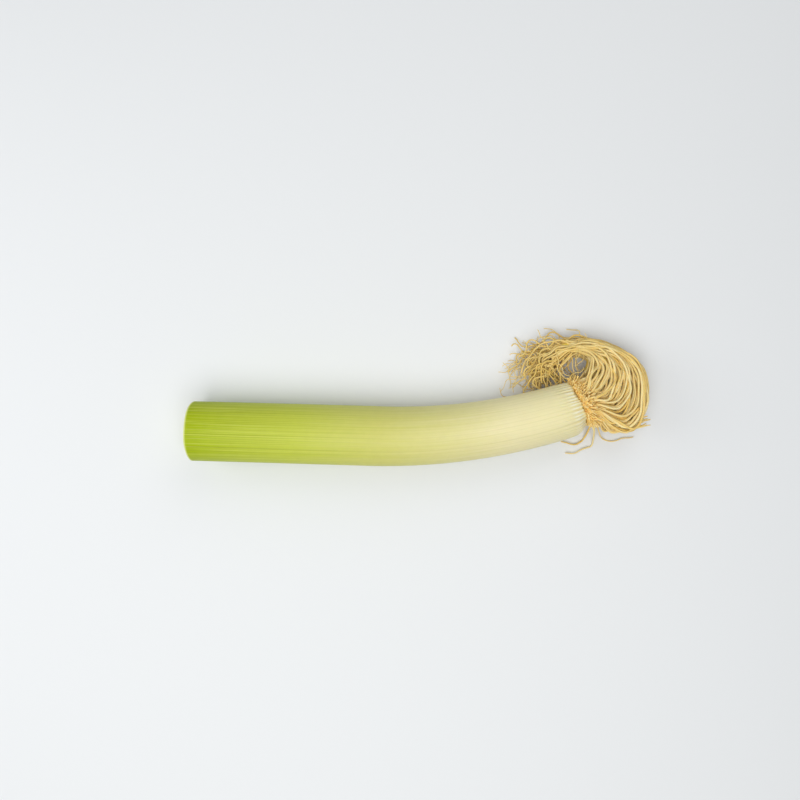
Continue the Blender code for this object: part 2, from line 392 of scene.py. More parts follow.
def strand_attributes(share, tints, sides):
    """What the roots' finish reads: how far along its root each point is, and each root's tint."""
    tint = np.broadcast_to(tints[:, None], share.shape)
    return [("share", per_ring(share, sides)), ("tint", per_ring(tint, sides))]


# ------------------------------------------------------------------------------------------------
# Node groups and finishes
# ------------------------------------------------------------------------------------------------


def add_node(tree, kind, inputs=(), **settings):
    """Adds a node, sets its properties, and fills its inputs with values or links."""
    made = tree.nodes.new(kind)
    for key, value in settings.items():
        setattr(made, key, value)
    for key, value in dict(inputs).items():
        if isinstance(value, bpy.types.NodeSocket):
            tree.links.new(value, made.inputs[key])
        else:
            made.inputs[key].default_value = value
    return made


def maths(tree, operation, *values, clamp=False):
    """The result of a Math node."""
    return add_node(
        tree, "ShaderNodeMath", enumerate(values), operation=operation, use_clamp=clamp
    ).outputs[0]


def times(tree, first, second):
    """The product of two values."""
    return maths(tree, "MULTIPLY", first, second)


def mean_colour(first, second, share=0.5):
    """A colour a share of the way from the first to the second."""
    return tuple((1 - share) * a + share * b for a, b in zip(first, second))


def span(tree, value, low, high, to_low=0.0, to_high=1.0):
    """Maps a value from one range to another, with soft ends."""
    return add_node(
        tree,
        "ShaderNodeMapRange",
        {"Value": value, "From Min": low, "From Max": high, "To Min": to_low, "To Max": to_high},
        interpolation_type="SMOOTHSTEP",
    ).outputs["Result"]


def blend_colours(tree, factor, first, second, mode="MIX"):
    """Mixes two colours, given as links or as triples."""
    made = add_node(tree, "ShaderNodeMix", data_type="RGBA", blend_type=mode, clamp_factor=True)
    for socket, value in ((made.inputs[0], factor), (made.inputs[6], first), (made.inputs[7], second)):
        if isinstance(value, bpy.types.NodeSocket):
            tree.links.new(value, socket)
        else:
            socket.default_value = (*value, 1.0) if np.ndim(value) else value
    return made.outputs[2]


def colour_ramp(tree, factor, stops):
    """A colour ramp through pairs of place and colour."""
    made = add_node(tree, "ShaderNodeValToRGB", {"Fac": factor})
    ramp = made.color_ramp
    while len(ramp.elements) < len(stops):
        ramp.elements.new(1.0)
    for element, (place, colour) in zip(ramp.elements, stops):
        element.position = place
        element.color = (*colour, 1.0)
    return made.outputs["Color"]


def new_group(name, inputs, outputs):
    """An empty shader node group. inputs is (name, socket type, default) and outputs (name, type)."""
    tree = bpy.data.node_groups.new(name, "ShaderNodeTree")
    for label, kind, default in inputs:
        socket = tree.interface.new_socket(name=label, in_out="INPUT", socket_type=kind)
        if default is not None:
            socket.default_value = default
    for label, kind in outputs:
        tree.interface.new_socket(name=label, in_out="OUTPUT", socket_type=kind)
    return tree, tree.nodes.new("NodeGroupInput").outputs, tree.nodes.new("NodeGroupOutput").inputs


def fibre_group():
    """Long fibres: noise that is drawn out along the first axis of its coordinates."""
    tree, given, result = new_group(
        "Plant Fibres",
        (
            ("Vector", "NodeSocketVector", None),
            ("Across", "NodeSocketFloat", 900.0),
            ("Along", "NodeSocketFloat", 15.0),
            ("Contrast", "NodeSocketFloat", 1.0),
        ),
        (("Fibre", "NodeSocketFloat"),),
    )
    scale = add_node(
        tree, "ShaderNodeCombineXYZ", {0: given["Along"], 1: given["Across"], 2: given["Across"]}
    ).outputs[0]
    drawn = add_node(
        tree, "ShaderNodeVectorMath", {0: given["Vector"], 1: scale}, operation="MULTIPLY"
    ).outputs[0]
    noise = add_node(
        tree,
        "ShaderNodeTexNoise",
        {"Vector": drawn, "Scale": 1.0, "Detail": 2.5, "Roughness": 0.55, "Distortion": 0.15},
    ).outputs[0]
    centred = maths(tree, "SUBTRACT", noise, 0.5)
    tree.links.new(
        maths(tree, "MULTIPLY_ADD", centred, given["Contrast"], 0.5, clamp=True), result["Fibre"]
    )
    return tree


def fleck_group():
    """Flecks and stains: noise of two sizes, cut off at a level."""
    tree, given, result = new_group(
        "Plant Flecks",
        (
            ("Vector", "NodeSocketVector", None),
            ("Scale", "NodeSocketFloat", 400.0),
            ("Amount", "NodeSocketFloat", 0.5),
            ("Softness", "NodeSocketFloat", 0.15),
        ),
        (("Mask", "NodeSocketFloat"), ("Height", "NodeSocketFloat")),
    )
    noise = add_node(
        tree,
        "ShaderNodeTexNoise",
        {"Vector": given["Vector"], "Scale": given["Scale"], "Detail": 4.0, "Roughness": 0.6},
    ).outputs[0]
    level = maths(tree, "SUBTRACT", 1.0, given["Amount"])
    low = maths(tree, "SUBTRACT", level, given["Softness"])
    high = maths(tree, "ADD", level, given["Softness"])
    tree.links.new(span(tree, noise, low, high), result["Mask"])
    tree.links.new(noise, result["Height"])
    return tree


def shared_group(name, maker):
    """The named node group, made on first use."""
    return bpy.data.node_groups.get(name) or maker()


def use_fibres(tree, vector, across, along, contrast):
    """Places the fibre group and returns its fibres."""
    made = add_node(tree, "ShaderNodeGroup", node_tree=shared_group("Plant Fibres", fibre_group))
    tree.links.new(vector, made.inputs["Vector"])
    for key, value in (("Across", across), ("Along", along), ("Contrast", contrast)):
        made.inputs[key].default_value = value
    return made.outputs["Fibre"]


def use_flecks(tree, vector, scale, amount, softness=0.12):
    """Places the fleck group and returns its mask and its height."""
    made = add_node(tree, "ShaderNodeGroup", node_tree=shared_group("Plant Flecks", fleck_group))
    tree.links.new(vector, made.inputs["Vector"])
    for key, value in (("Scale", scale), ("Amount", amount), ("Softness", softness)):
        made.inputs[key].default_value = value
    return made.outputs["Mask"], made.outputs["Height"]


def new_finish(name, **constants):
    """A material with a Principled shader, whose constant sockets are set by label."""
    made = bpy.data.materials.new(name)
    made.use_nodes = True
    shader = made.node_tree.nodes["Principled BSDF"]
    for key, value in constants.items():
        shader.inputs[key.replace("_", " ")].default_value = value
    return made, made.node_tree, shader


def read_attribute(tree, name, output="Fac"):
    """An attribute of the piece's mesh."""
    return add_node(tree, "ShaderNodeAttribute", attribute_name=name).outputs[output]


def add_bump(tree, shader, height, distance, strength):
    """Feeds a height to the shader's normal."""
    bump = add_node(
        tree, "ShaderNodeBump", {"Height": height, "Distance": distance, "Strength": strength}
    )
    tree.links.new(bump.outputs[0], shader.inputs["Normal"])


def skin_finish(colours):
    """The outer leaf: green at the cut end and cream at the foot, in streaks that follow its veins,
    with a painted highlight on the pleat ridges near the foot.
    """
    made, tree, shader = new_finish(
        "leek_skin",
        Subsurface_Weight=0.18,
        Subsurface_Radius=(1.0, 0.75, 0.25),
        Subsurface_Scale=0.003,
        Specular_IOR_Level=0.18,
    )
    straight = read_attribute(tree, "straight", "Vector")
    groove = read_attribute(tree, "groove")
    along = add_node(tree, "ShaderNodeSeparateXYZ", {0: straight}).outputs[0]
    broad = use_fibres(tree, straight, 170.0, 9.0, 1.6)
    fine = use_fibres(tree, straight, FIBRES_ACROSS, 14.0, 1.8)
    hair = use_fibres(tree, straight, 2600.0, 60.0, 1.6)
    place = maths(tree, "DIVIDE", along, SHAFT_LENGTH)
    place = maths(tree, "MULTIPLY_ADD", maths(tree, "SUBTRACT", broad, 0.5), 0.055, place)
    place = maths(tree, "MULTIPLY_ADD", maths(tree, "SUBTRACT", fine, 0.5), 0.10, place)
    base = colour_ramp(
        tree,
        place,
        (
            (0.0, colours.green),
            (0.10, mean_colour(colours.green, colours.lime)),
            (0.27, colours.lime),
            (0.50, colours.straw),
            (0.68, mean_colour(colours.straw, colours.cream)),
            (0.82, colours.cream),
            (1.0, colours.cream),
        ),
    )
    greenness = span(tree, along, 0.0, 0.12, 1.0, 0.0)
    vein = times(tree, groove, times(tree, greenness, 0.62))
    base = blend_colours(tree, vein, base, tuple(0.64 * c for c in colours.green))
    # Painted highlight: the pleat ridges a few millimetres short of the foot are lightened towards
    # white, where a gloss highlight would fall.
    painted_ridge_highlight = times(tree, span(tree, groove, 0.05, 0.45, 1.0, 0.0), 0.65)
    painted_ridge_highlight = times(tree, painted_ridge_highlight, span(tree, along, SHAFT_LENGTH - 0.0065, SHAFT_LENGTH - 0.0035))
    painted_ridge_highlight = times(tree, painted_ridge_highlight, span(tree, along, SHAFT_LENGTH - 0.003, SHAFT_LENGTH, 1.0, 0.3))
    base = blend_colours(tree, painted_ridge_highlight, base, (0.96, 0.94, 0.78))
    line = times(tree, groove, span(tree, along, 0.05, SHAFT_LENGTH, 0.06, 0.20))
    base = blend_colours(tree, line, base, tuple(0.72 * c for c in colours.straw))
    pale = times(tree, span(tree, fine, 0.50, 0.80), times(tree, greenness, 0.36))
    base = blend_colours(tree, pale, base, (0.62, 0.68, 0.14))
    mottle, _ = use_flecks(tree, straight, 260.0, 0.5, 0.3)
    base = blend_colours(tree, times(tree, mottle, 0.10), base, (1.0, 0.98, 0.80), "SOFT_LIGHT")
    near_foot = span(tree, along, SHAFT_LENGTH - 0.009, SHAFT_LENGTH)
    stain = times(tree, near_foot, times(tree, groove, 0.2))
    base = blend_colours(tree, stain, base, colours.ochre)
    edge = span(tree, along, SHAFT_LENGTH - 0.0016, SHAFT_LENGTH + 0.0006)
    edge = times(tree, edge, span(tree, fine, 0.25, 0.75, 0.2, 0.7))
    base = blend_colours(tree, edge, base, colours.root_gold)
    wall = read_attribute(tree, "wall")
    cut = times(tree, span(tree, wall, 0.02, 0.10), span(tree, along, 0.001, 0.002, 0.9, 0.0))
    base = blend_colours(tree, cut, base, colours.flesh)
    near_cut = span(tree, along, 0.0004, 0.0012, 0.65, 0.0)
    base = blend_colours(tree, near_cut, base, (0.82, 0.84, 0.40))
    tree.links.new(base, shader.inputs["Base Color"])
    rough = maths(tree, "MULTIPLY_ADD", fine, 0.14, 0.42)
    tree.links.new(rough, shader.inputs["Roughness"])
    height = maths(tree, "MULTIPLY_ADD", hair, 0.5, fine)
    add_bump(tree, shader, height, 0.00005, 0.6)
    return made


def flesh_finish(name, colours, depth):
    """An inner leaf: pale moist flesh with a greener skin. depth is 0 for the outermost leaf and 1 for
    the innermost, whose flesh is yellower."""
    made, tree, shader = new_finish(
        name,
        Subsurface_Weight=0.25,
        Subsurface_Radius=(1.0, 0.8, 0.3),
        Subsurface_Scale=0.002,
        Coat_Weight=0.35,
        Coat_Roughness=0.2,
    )
    straight = read_attribute(tree, "straight", "Vector")
    wall = read_attribute(tree, "wall")
    along = add_node(tree, "ShaderNodeSeparateXYZ", {0: straight}).outputs[0]
    fibres = use_fibres(tree, straight, 1500.0, 300.0, 1.5)
    flecks, height = use_flecks(tree, straight, 1800.0, 0.45, 0.12)
    flesh = mean_colour(colours.flesh, colours.heart, depth)
    skin = mean_colour(colours.lime, colours.green, 0.45)
    near_skin = maths(tree, "ABSOLUTE", maths(tree, "MULTIPLY_ADD", wall, 2.0, -1.0))
    edge = span(tree, near_skin, 0.55, 1.0)
    base = blend_colours(tree, edge, flesh, skin)
    base = blend_colours(tree, times(tree, flecks, 0.22), base, (0.90, 0.92, 0.62))
    base = blend_colours(tree, times(tree, fibres, 0.12), base, skin)
    deep = span(tree, along, 0.02, 0.14)
    base = blend_colours(tree, deep, base, colours.cream)
    tree.links.new(base, shader.inputs["Base Color"])
    tree.links.new(maths(tree, "MULTIPLY_ADD", height, 0.2, 0.28), shader.inputs["Roughness"])
    add_bump(tree, shader, maths(tree, "ADD", height, fibres), 0.00012, 0.5)
    return made


def plate_finish(colours):
    """The root plate: tan and fibrous, with darker old scars and pale fresh ones."""
    made, tree, shader = new_finish("root_plate_bark", Subsurface_Weight=0.08, Subsurface_Scale=0.002)
    place = add_node(tree, "ShaderNodeTexCoord").outputs["Object"]
    scars, _ = use_flecks(tree, place, 420.0, 0.46, 0.12)
    pale, height = use_flecks(tree, place, 900.0, 0.42, 0.10)
    fibres = use_fibres(tree, place, 700.0, 700.0, 1.6)
    base = blend_colours(tree, scars, colours.ochre, colours.brown)
    base = blend_colours(tree, times(tree, pale, 0.6), base, colours.root_cream)
    base = blend_colours(tree, times(tree, fibres, 0.35), base, colours.root_gold)
    tree.links.new(base, shader.inputs["Base Color"])
    tree.links.new(maths(tree, "MULTIPLY_ADD", height, 0.3, 0.6), shader.inputs["Roughness"])
    add_bump(tree, shader, maths(tree, "MULTIPLY_ADD", fibres, 0.6, height), 0.0004, 0.9)
    return made


def root_finish(colours):
    """A root: golden at its base, cream along its length and darker again at its tip, a tan that is
    partly the roots' own colour and partly painted shade. Each root has a tint of its own, and a few
    are yellow."""
    made, tree, shader = new_finish(
        "root_skin",
        Subsurface_Weight=0.15,
        Subsurface_Radius=(1.0, 0.7, 0.3),
        Subsurface_Scale=0.0012,
        Coat_Weight=0.12,
        Coat_Roughness=0.30,
        Specular_IOR_Level=0.30,
    )
    place = add_node(tree, "ShaderNodeTexCoord").outputs["Object"]
    share = read_attribute(tree, "share")
    tint = read_attribute(tree, "tint")
    flecks, height = use_flecks(tree, place, 650.0, 0.40, 0.14)
    blotch, _ = use_flecks(tree, place, 120.0, 0.5, 0.2)
    base = blend_colours(tree, tint, colours.root_cream, colours.root_gold)
    near_plate = span(tree, share, 0.0, 0.14, 0.80, 0.0)
    base = blend_colours(tree, near_plate, base, colours.ochre)
    # Darker tan towards the tips: partly the roots' own colour, partly painted shade on the far ends
    # of the roots.
    tip_tan_and_shade = span(tree, share, 0.42, 0.92, 0.0, 0.70)
    base = blend_colours(tree, tip_tan_and_shade, base, colours.root_tan_and_shade)
    base = blend_colours(tree, times(tree, flecks, 0.30), base, colours.ochre)
    base = blend_colours(tree, times(tree, blotch, 0.18), base, colours.cream)
    yellow = span(tree, tint, 0.975, 0.985)
    base = blend_colours(tree, times(tree, yellow, 0.8), base, (0.84, 0.62, 0.07))
    tree.links.new(base, shader.inputs["Base Color"])
    tree.links.new(maths(tree, "MULTIPLY_ADD", height, 0.25, 0.40), shader.inputs["Roughness"])
    add_bump(tree, shader, height, 0.00025, 0.6)
    return made


def shared_root_finish(colours):
    """The root's finish, made on first use."""
    return bpy.data.materials.get("root_skin") or root_finish(colours)


def floor_finish(colours):
    """A plain matt floor with a faint grain."""
    made, tree, shader = new_finish("studio_floor", Specular_IOR_Level=0.2)
    place = add_node(tree, "ShaderNodeTexCoord").outputs["Object"]
    _, height = use_flecks(tree, place, 300.0, 0.5)
    base = blend_colours(
        tree, times(tree, height, 0.05), colours.floor, tuple(0.9 * c for c in colours.floor)
    )
    tree.links.new(base, shader.inputs["Base Color"])
    tree.links.new(maths(tree, "MULTIPLY_ADD", height, 0.1, 0.75), shader.inputs["Roughness"])
    return made


# ------------------------------------------------------------------------------------------------
# The leaves
# ------------------------------------------------------------------------------------------------


def vein_pattern(angle, count, rng):
    """Grooves between veins that are unevenly spaced round the leaf. The vein number rises with the
    angle, plus a few sines, and each groove is a bell curve round a whole number, with a strength of
    its own. Returns a function of the grooves' width and of the strength of the finer grooves that
    lie halfway between them."""
    number = count * angle / (2 * math.pi)
    for waves_round, size in ((5, 0.25), (11, 0.12), (23, 0.06)):
        number = number + size * np.sin(waves_round * angle + rng.uniform(0, 2 * math.pi))
    strength = rng.uniform(0.5, 1.0, 2 * count)

    def bells(shift, width):
        """Bell curves round whole numbers, which are moved by shift."""
        nearest = np.round(number + shift)
        each = strength[(2 * nearest + 2 * shift).astype(int) % (2 * count)]
        return each * np.exp(-(((number + shift - nearest) / width) ** 2))

    def groove(width, halfway):
        """The coarse and the fine grooves together."""
        return bells(0.0, width) + halfway * bells(0.5, 0.7 * width)

    return groove


def leaf_edge(number, along, angle):
    """Radius between leaf number and the one inside it; 0 gives the skin of the outer leaf. The walls
    share the shaft's thickness evenly, but each leaf is thicker on its keel's side, and the keels lie
    on opposite sides in turn. The whole shaft is a little out of round."""
    outer = skin_radius(along)
    even = outer - number * (outer - HEART_RADIUS) / LEAF_COUNT
    keel = 0.00042 * (number % 2) * min(LEAF_COUNT - number, 1) * np.cos(angle - 0.6)
    wavy = 0.00013 * np.sin(3 * angle + 1.7 * number) * min(number, 1)
    oval = 0.006 * np.cos(2 * angle + 0.7 + 9 * along)
    three_sided = 0.004 * np.cos(3 * angle - 1.1 + 24 * along)
    return (even + keel + wavy) * (1 + oval + three_sided)


def rim_profile(steps, rounding):
    """A leaf's cut edge as pairs: distance in from the cut face, and share of the wall from the outer
    side to the inner one. It is half a flattened circle."""
    turn = np.linspace(0.0, math.pi, steps)
    return np.column_stack((rounding * (1 - np.sin(turn)), 0.5 - 0.5 * np.cos(turn)))


def leaf_rows(stations, rounding, rim_steps):
    """Rows of a leaf's closed wall, as pairs of distance along and share of the wall: down the outside
    from the cut end, round the end at the foot, up the inside, and round the cut edge."""
    outside = np.column_stack((stations, np.zeros(len(stations))))
    inner_stations = stations[:0:-1][:: max(1, len(stations) // 26)]
    inside = np.column_stack((inner_stations, np.ones(len(inner_stations))))
    end = np.array(((stations[-1], 0.5),))
    rim = rim_profile(rim_steps, rounding)[:0:-1]
    return np.vstack((outside, end, inside, rim))


def cut_slant(along, up):
    """How far the cut moves a point along the shaft: the cut leans a little, so that its top juts out,
    and the lean dies away along the shaft."""
    return -CUT_LEAN * up * (1 - smooth_step(along, 0.0, 0.03))


def build_leaf(number, settings, finish):
    """A leaf's sheath. Its wall lies between two edges worked out by leaf_edge, less half a gap. The
    outer leaf's outside is grooved between its veins, and pleated towards the foot."""
    rng = np.random.default_rng(40 + number)
    first = number == 1
    columns = settings.vein_count * VEIN_STEPS if first else INNER_COLUMNS
    angle = np.arange(columns) * 2 * math.pi / columns
    if first:
        stations = np.concatenate(
            (
                (settings.edge_rounding, 0.0008, 0.0018),
                np.linspace(0.0035, SHAFT_LENGTH - settings.pleat_length, 40),
                np.linspace(SHAFT_LENGTH - settings.pleat_length, SHAFT_LENGTH, 28)[1:],
            )
        )
    else:
        stations = np.concatenate(
            ((settings.edge_rounding, 0.001), np.linspace(0.004, SHAFT_LENGTH, 34))
        )
    rows = leaf_rows(stations, settings.edge_rounding, 9)
    along, wall = rows[:, :1], rows[:, 1:]
    at = np.broadcast_to(angle, (len(rows), columns))
    outer = leaf_edge(number - 1, along, at) - (0.0 if first else settings.leaf_gap / 2)
    inner = leaf_edge(number, along, at) + settings.leaf_gap / 2
    radius = outer + (inner - outer) * wall
    pleat = smooth_step(along, SHAFT_LENGTH - settings.pleat_length, SHAFT_LENGTH) ** 1.5
    groove = np.zeros_like(radius)
    if first:
        pattern = vein_pattern(at, settings.vein_count, rng)
        halfway = 0.85 - 0.60 * smooth_step(along, 0.02, 0.10) - 0.25 * pleat
        groove = pattern(0.13 + 0.17 * pleat, halfway)
        depth = settings.vein_depth + settings.pleat_depth * pleat
        flare = 0.00035 * smooth_step(along, SHAFT_LENGTH - 0.0016, SHAFT_LENGTH)
        radius = radius + (1 - wall) * (flare - depth * groove)
        shift = 0.0005 * np.sin(4 * at + 0.6) + 0.0004 * np.sin(9 * at + 2.1)
        ragged = pleat**4 * (shift - 0.0006 * groove)
    else:
        ragged = 0.0
    uneven = 0.00018 * np.sin(2 * angle + 2.3 * number) + 0.00010 * np.sin(5 * angle + number)
    uneven = uneven + (0.0003 if first else rng.uniform(0.0001, 0.0006))
    uneven = uneven * (1 - smooth_step(along, 0.0, 0.004))
    grain = along + ragged
    slid = grain + uneven + cut_slant(along, radius * np.sin(at))
    points = carry_along_bend(*lean_foot(slid, radius * np.cos(at), radius * np.sin(at)))
    points[..., 2] = np.maximum(points[..., 2], FLOOR_LIFT)
    straight = stack_axes(grain, radius * np.cos(at), radius * np.sin(at))
    faces = grid_faces(len(rows), columns, wrap_rows=True)
    return add_piece(
        f"leaf_{number}_sheath",
        points,
        [faces],
        finish,
        (f"leaf_{number}",),
        (
            ("straight", straight.reshape(-1, 3)),
            ("groove", groove.reshape(-1)),
            ("wall", np.broadcast_to(wall, radius.shape).reshape(-1)),
        ),
    )


def build_heart(settings, finish):
    """The youngest leaf, rolled up: a strip whose middle follows a spiral, carried along the axis.
    Each end is closed by a row of faces from the strip's outer side to its inner one."""
    steps = 108
    turn = np.linspace(0.0, 2.2 * 2 * math.pi, steps)
    middle = np.linspace(0.00030, HEART_RADIUS - 0.00036, steps)
    half = 0.00030 * np.sqrt(np.clip(1 - np.abs(np.linspace(-1, 1, steps)) ** 14, 0.05, 1.0))
    radius = np.concatenate((middle + half, (middle - half)[::-1]))
    angle = np.concatenate((turn, turn[::-1]))
    along = np.concatenate(((0.0, 0.0012), np.linspace(0.004, SHAFT_LENGTH, 34)))[:, None]
    shrink = np.where(along < 0.0005, 0.97, 1.0)
    left, up = shrink * radius * np.cos(angle), shrink * radius * np.sin(angle)
    slid = along + cut_slant(along, up) + 0.0004
    slid = np.minimum(slid, SHAFT_LENGTH)
    points = carry_along_bend(*lean_foot(slid, left, up))
    count = 2 * steps
    walls = grid_faces(len(along), count)
    i = np.arange(steps - 1)
    cap = np.column_stack((i, i + 1, count - 2 - i, count - 1 - i))
    last = (len(along) - 1) * count
    straight = np.stack((slid, left, up), axis=-1)
    wall = np.broadcast_to(np.repeat((0.0, 1.0), steps), left.shape)
    return add_piece(
        "heart_leaf_roll",
        points,
        [walls, cap[:, ::-1], last + cap],
        finish,
        ("heart_leaf",),
        (("straight", straight.reshape(-1, 3)), ("wall", wall.reshape(-1))),
    )


# ------------------------------------------------------------------------------------------------
# The root plate
# ------------------------------------------------------------------------------------------------


def plate_radius():
    """Radius of the plate's rim."""
    return FOOT_RADIUS - PLATE_INSET


def dome_height(radius):
    """How far the dome stands out beyond the leaves' ends: its rim and a parabola."""
    return PLATE_RIM + PLATE_DOME * (1 - (np.minimum(radius, plate_radius()) / plate_radius()) ** 2)


def dome_point(left, up, lift):
    """Points above the dome at distances left of and above its middle, lifted along its normal."""
    steepness = 2 * PLATE_DOME / plate_radius() ** 2
    normal = unit(stack_axes(1.0, steepness * left, steepness * up))
    base = stack_axes(SHAFT_LENGTH + dome_height(np.hypot(left, up)), left, up)
    raised = base + normal * np.asarray(lift)[..., None]
    return carry_along_bend(*lean_foot(raised[..., 0], raised[..., 1], raised[..., 2]))


def build_plate(settings, finish):
    """The root plate: a profile of a straight rim and a parabola, turned round the axis, with lumps
    that are products of sines of uneven pitch."""
    columns = 132
    angle = np.arange(columns) * 2 * math.pi / columns
    rim = plate_radius()
    side = np.linspace(0.0, PLATE_RIM, 6)
    radii = rim * np.cos(np.linspace(0.0, math.pi / 2, 26))[1:-1]
    out = np.concatenate((side, dome_height(radii)))[:, None]
    radius = np.concatenate((np.full(len(side), rim), radii))[:, None]
    left, up = radius * np.cos(angle), radius * np.sin(angle)
    lumps = np.sin(2100 * left + 3 * np.sin(700 * up)) * np.sin(1900 * up + 2 * np.sin(900 * left))
    lumps = lumps + 0.6 * np.sin(3900 * left + 1.0) * np.sin(4100 * up + 2.0 + 800 * out)
    rise = settings.roughness * lumps * smooth_step(out, 0.0, 0.0012)
    grown = 1 + np.where(out <= PLATE_RIM, rise / rim, 0.4 * rise / rim)
    reach = SHAFT_LENGTH + 0.0002 + out + np.where(out > PLATE_RIM, rise, 0.0)
    points = carry_along_bend(*lean_foot(reach, left * grown, up * grown))
    rows = len(out)
    walls = grid_faces(rows, columns)
    back = np.arange(columns)[None, ::-1]
    front = (rows - 1) * columns + np.arange(columns)[None, :]
    return add_piece(
        "root_plate_dome", points, [walls, back, front], finish, ("root_plate",)
    )


def build_stubs(settings, finish):
    """Short broken roots, on the dome and round the plate's rim. Each is a tube that leaves the dome
    along its normal, leans at random, and narrows a little. Those on the rim are slid back along the
    axis, and lean outwards."""
    rng = np.random.default_rng(7)
    count = settings.stub_count
    on_rim = rng.random(count) < 0.35
    radius = plate_radius() * np.where(on_rim, 0.98, np.sqrt(rng.uniform(0.35, 1.0, count)))
    angle = rng.uniform(0.0, 2 * math.pi, count)
    left, up = radius * np.cos(angle), radius * np.sin(angle)
    start = dome_point(left, up, np.full(count, -0.0006))
    away = unit(dome_point(left, up, np.full(count, 0.0010)) - start)
    back = on_rim * rng.uniform(-0.0004, PLATE_RIM - 0.0004, count)
    start = start - back[:, None] * np.array((math.cos(BEND), math.sin(BEND), 0.0))
    outward = unit(start - dome_point(0.0 * left, 0.0 * up, np.zeros(count)))
    lean = rng.normal(0.0, 0.50, (count, 3)) + (0.15 + 0.25 * on_rim)[:, None] * outward
    length = settings.stub_length * rng.uniform(0.25, 1.0, count) * (1 - 0.35 * on_rim)
    t = np.linspace(0.0, 1.0, 6)
    centres = (
        start[:, None]
        + away[:, None] * (length[:, None] * t)[..., None]
        + lean[:, None] * (length[:, None] * t**2 * 0.8)[..., None]
    )
    radii = settings.stub_radius * rng.uniform(0.55, 1.25, count)[:, None] * (1 - 0.25 * t)
    centres[..., 2] = np.maximum(centres[..., 2], radii + 0.0001)
    vertices, faces = tubes(centres, radii, STUB_SIDES)
    tints = rng.uniform(0.0, 0.7, count)
    share = np.broadcast_to(0.01 + 0.08 * t, radii.shape)
    return add_piece(
        "root_plate_stubs",
        vertices,
        faces,
        finish,
        (),
        strand_attributes(share, tints, STUB_SIDES),
    )


# ------------------------------------------------------------------------------------------------
# The roots
# ------------------------------------------------------------------------------------------------


def smooth_routes(points, count, share):
    """Evenly spaced points along the first share of Catmull-Rom curves through rows of points."""
    p = np.concatenate(
        (2 * points[:, :1] - points[:, 1:2], points, 2 * points[:, -1:] - points[:, -2:-1]), axis=1
    )
    spans = points.shape[1] - 1
    t = np.linspace(0.0, spans, 30 * spans + 1)
    i = np.minimum(t.astype(int), spans - 1)
    f = (t - i)[None, :, None]
    a, b, c, d = p[:, i], p[:, i + 1], p[:, i + 2], p[:, i + 3]
    square, cube = 2 * a - 5 * b + 4 * c - d, 3 * b - a - 3 * c + d
    dense = 0.5 * (2 * b + (c - a) * f + square * f**2 + cube * f**3)
    steps = np.linalg.norm(np.diff(dense, axis=1), axis=-1)
    length = np.concatenate((np.zeros((len(dense), 1)), np.cumsum(steps, axis=1)), axis=1)
    wanted = np.linspace(0.0, 1.0, count) * (share * length[:, -1])[:, None]
    return np.stack(
        [
            np.stack([np.interp(w, l, route[:, axis]) for axis in range(3)], axis=-1)
            for w, l, route in zip(wanted, length, dense)
        ]
    )


def curl(routes, amount, bow, rng, wavelengths):
    """Bends routes from side to side: their heading seen from above is turned by a smooth random
    angle times amount, plus the angle bow, and each route is then walked again from its start."""
    steps = np.diff(routes, axis=1)
    level = np.hypot(steps[..., 0], steps[..., 1])
    heading = np.arctan2(steps[..., 1], steps[..., 0])
    walked = np.concatenate((np.zeros((len(routes), 1)), np.cumsum(level, axis=1)), axis=1)[:, :-1]
    turned = heading + amount[:, :-1] * waves(walked, rng, wavelengths, len(routes)) + bow[:, :-1]
    moved = np.stack((level * np.cos(turned), level * np.sin(turned), steps[..., 2]), axis=-1)
    return np.concatenate((routes[:, :1], routes[:, :1] + np.cumsum(moved, axis=1)), axis=1)


def press_in(values, low, high, room):
    """Brings values that run past low or high back softly, to within the room beyond them."""
    values = np.where(values > high, high + room * np.tanh((values - high) / room), values)
    return np.where(values < low, low + room * np.tanh((values - low) / room), values)


def keep_clear(routes, radii):
    """Moves routes off the shaft's skin and off the floor by a root's own radius, and presses them
    back where they stray too far from the solids' box."""
    for axis in (0, 1):
        low, high = SOLID_BOX[0][axis], SOLID_BOX[1][axis]
        routes[..., axis] = press_in(routes[..., axis], low, high, SPREAD)
    routes = push_off_shaft(routes, radii + CLEARANCE)
    routes[..., 2] = np.maximum(routes[..., 2], radii + CLEARANCE)
    return routes


def heap_routes(across, deep, share, count, rng):
    """Routes of roots in the heap. across runs from 0, the inner edge, to 1, the outer one, and deep
    from 0, on the ground, to 1, on top. A root leaves the dome along its normal, and then sinks to its
    own level while it follows its track."""
    up = ROOTED_RADIUS * 0.88 * (2 * deep - 1)
    left = np.sqrt(ROOTED_RADIUS**2 - up**2) * (1 - 2 * across)
    start = dome_point(left, up, np.full(len(left), -0.0004))
    lifted = dome_point(left, up, np.full(len(left), 0.0045))
    steps = np.linspace(0.0, 1.0, len(INNER_TRACK))
    drift = rng.normal(0.0, 0.10, len(across))[:, None] * steps
    place = np.clip(across[:, None] + drift, 0.0, 1.02)[..., None]
    track = (1 - place) * INNER_TRACK + place * OUTER_TRACK
    track = track + rng.normal(0.0, 0.0008, track.shape)
    track[..., 1] -= HEAP_SINK * place[..., 0] * smooth_step(steps, 0.4, 0.8)
    level = 0.0012 + deep * (HEAP_HEIGHT - 0.001)
    sinking = smooth_step(np.linspace(0.0, 1.0, len(INNER_TRACK) + 1)[1:], 0.0, 0.62)
    heights = lifted[:, 2:] + (level[:, None] - lifted[:, 2:]) * sinking
    settled = smooth_step(sinking * np.linspace(0.3, 1.0, len(sinking)), 0.6, 1.0)
    heights = heights * (1 - 0.35 * settled)
    ground = np.concatenate((FOOT[:2] + track, heights[..., None]), axis=-1)
    points = np.concatenate((start[:, None], lifted[:, None], ground), axis=1)
    return smooth_routes(points, count, share)


